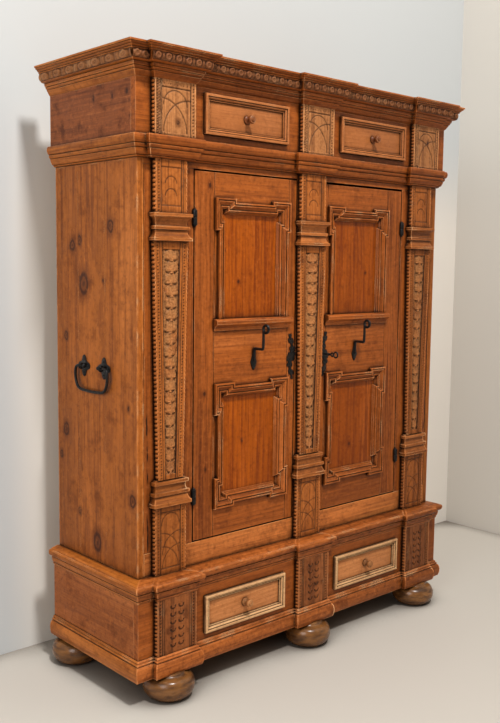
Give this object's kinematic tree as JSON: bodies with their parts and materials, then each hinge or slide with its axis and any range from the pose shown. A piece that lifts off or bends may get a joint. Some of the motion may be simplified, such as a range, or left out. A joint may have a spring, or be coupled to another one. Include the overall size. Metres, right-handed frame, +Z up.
{
  "type": "two-door cupboard",
  "caption": "Tall pine cupboard with panelled hinged doors, tapered carved pilasters, drawers in frieze and base, moulded cornice and bun feet",
  "frame": {"origin": "centre of the bounding box at floor level", "axes": "+Z up, -Y towards the front with the doors, +X to the right seen from the front"},
  "size_m": [1.653, 0.6042, 2.0557],
  "materials": {
    "carved_pine": "worn, dry",
    "drawer_pine": "waxed, pale",
    "foot_wood": "polished, dark",
    "frieze_pine": "waxed, reddish",
    "front_pine": "waxed, aged",
    "inner_pine": "raw",
    "moulding_pine": "waxed, aged",
    "panel_pine": "waxed, golden",
    "side_pine": "waxed, aged",
    "wrought_iron": "blackened"
  },
  "bodies": {
    "carcass": {"architrave_moulding": "moulding_pine", "base_back": "inner_pine", "base_bottom": "inner_pine", "base_foot_moulding": "moulding_pine", "base_front": "front_pine", "base_side_left": "side_pine", "base_side_right": "side_pine", "base_top_moulding": "moulding_pine", "case_back": "inner_pine", "case_floor": "inner_pine", "case_side_left": "side_pine", "case_side_right": "side_pine", "centre_post": "front_pine", "cornice_moulding": "moulding_pine", "crown_floor": "inner_pine", "crown_top": "inner_pine", "foot_back_left": "foot_wood", "foot_back_right": "foot_wood", "foot_front_centre": "foot_wood", "foot_front_left": "foot_wood", "foot_front_right": "foot_wood", "frieze_back": "inner_pine", "frieze_front": "front_pine", "frieze_side_left": "frieze_pine", "frieze_side_right": "frieze_pine", "front_stile_left": "front_pine", "front_stile_right": "front_pine", "head_rail": "front_pine", "pilaster_centre": "carved_pine", "pilaster_left": "carved_pine", "pilaster_right": "carved_pine", "shelf_lower": "inner_pine", "shelf_upper": "inner_pine", "threshold_rail": "front_pine"},
    "door_left": {"door_frame_left": "front_pine", "door_upper_panel_left": "panel_pine", "door_lower_panel_left": "panel_pine", "escutcheon_left": "wrought_iron", "pull_left": "wrought_iron", "lock_case_left": "wrought_iron"},
    "base_drawer_left": {"base_drawer_left_front": "drawer_pine", "base_drawer_left_box": "inner_pine"},
    "frieze_drawer_left": {"frieze_drawer_left_front": "drawer_pine", "frieze_drawer_left_box": "inner_pine"},
    "bail_handle_left": {"bail_left": "wrought_iron"},
    "door_right": {"door_frame_right": "front_pine", "door_upper_panel_right": "panel_pine", "door_lower_panel_right": "panel_pine", "escutcheon_right": "wrought_iron", "pull_right": "wrought_iron", "lock_case_right": "wrought_iron"},
    "base_drawer_right": {"base_drawer_right_front": "drawer_pine", "base_drawer_right_box": "inner_pine"},
    "frieze_drawer_right": {"frieze_drawer_right_front": "drawer_pine", "frieze_drawer_right_box": "inner_pine"},
    "bail_handle_right": {"bail_right": "wrought_iron"},
    "bolt_left": {"lock_bolt_left": "wrought_iron"},
    "key_piece": {"key": "wrought_iron", "lock_tongue_right": "wrought_iron"}
  },
  "joints": [
    {"name": "door_left_hinge", "type": "hinge", "parent": "carcass", "child": "door_left", "pos_m": [-0.528, -0.1955, 1.098], "axis": [0, 0, -1], "range_deg": [0, 100]},
    {"name": "door_right_hinge", "type": "hinge", "parent": "carcass", "child": "door_right", "pos_m": [0.528, -0.1955, 1.098], "axis": [0, 0, 1], "range_deg": [0, 100]},
    {"name": "bolt_left_slide", "type": "slide", "parent": "door_left", "child": "bolt_left", "axis": [1, 0, 0], "range_m": [0, 0.02]},
    {"name": "key_turn", "type": "hinge", "parent": "door_right", "child": "key_piece", "pos_m": [0.094, -0.1915, 1.0813], "axis": [0, 1, 0], "range_deg": [0, 90]},
    {"name": "base_drawer_left_slide", "type": "slide", "parent": "carcass", "child": "base_drawer_left", "axis": [0, -1, 0], "range_m": [0, 0.32]},
    {"name": "frieze_drawer_left_slide", "type": "slide", "parent": "carcass", "child": "frieze_drawer_left", "axis": [0, -1, 0], "range_m": [0, 0.32]},
    {"name": "bail_left_swing", "type": "hinge", "parent": "carcass", "child": "bail_handle_left", "pos_m": [-0.763, 0.0535, 1.066], "axis": [0, 1, 0], "range_deg": [0, 90]},
    {"name": "base_drawer_right_slide", "type": "slide", "parent": "carcass", "child": "base_drawer_right", "axis": [0, -1, 0], "range_m": [0, 0.32]},
    {"name": "frieze_drawer_right_slide", "type": "slide", "parent": "carcass", "child": "frieze_drawer_right", "axis": [0, -1, 0], "range_m": [0, 0.32]},
    {"name": "bail_right_swing", "type": "hinge", "parent": "carcass", "child": "bail_handle_right", "pos_m": [0.763, 0.0535, 1.066], "axis": [0, -1, 0], "range_deg": [0, 90]}
  ]
}
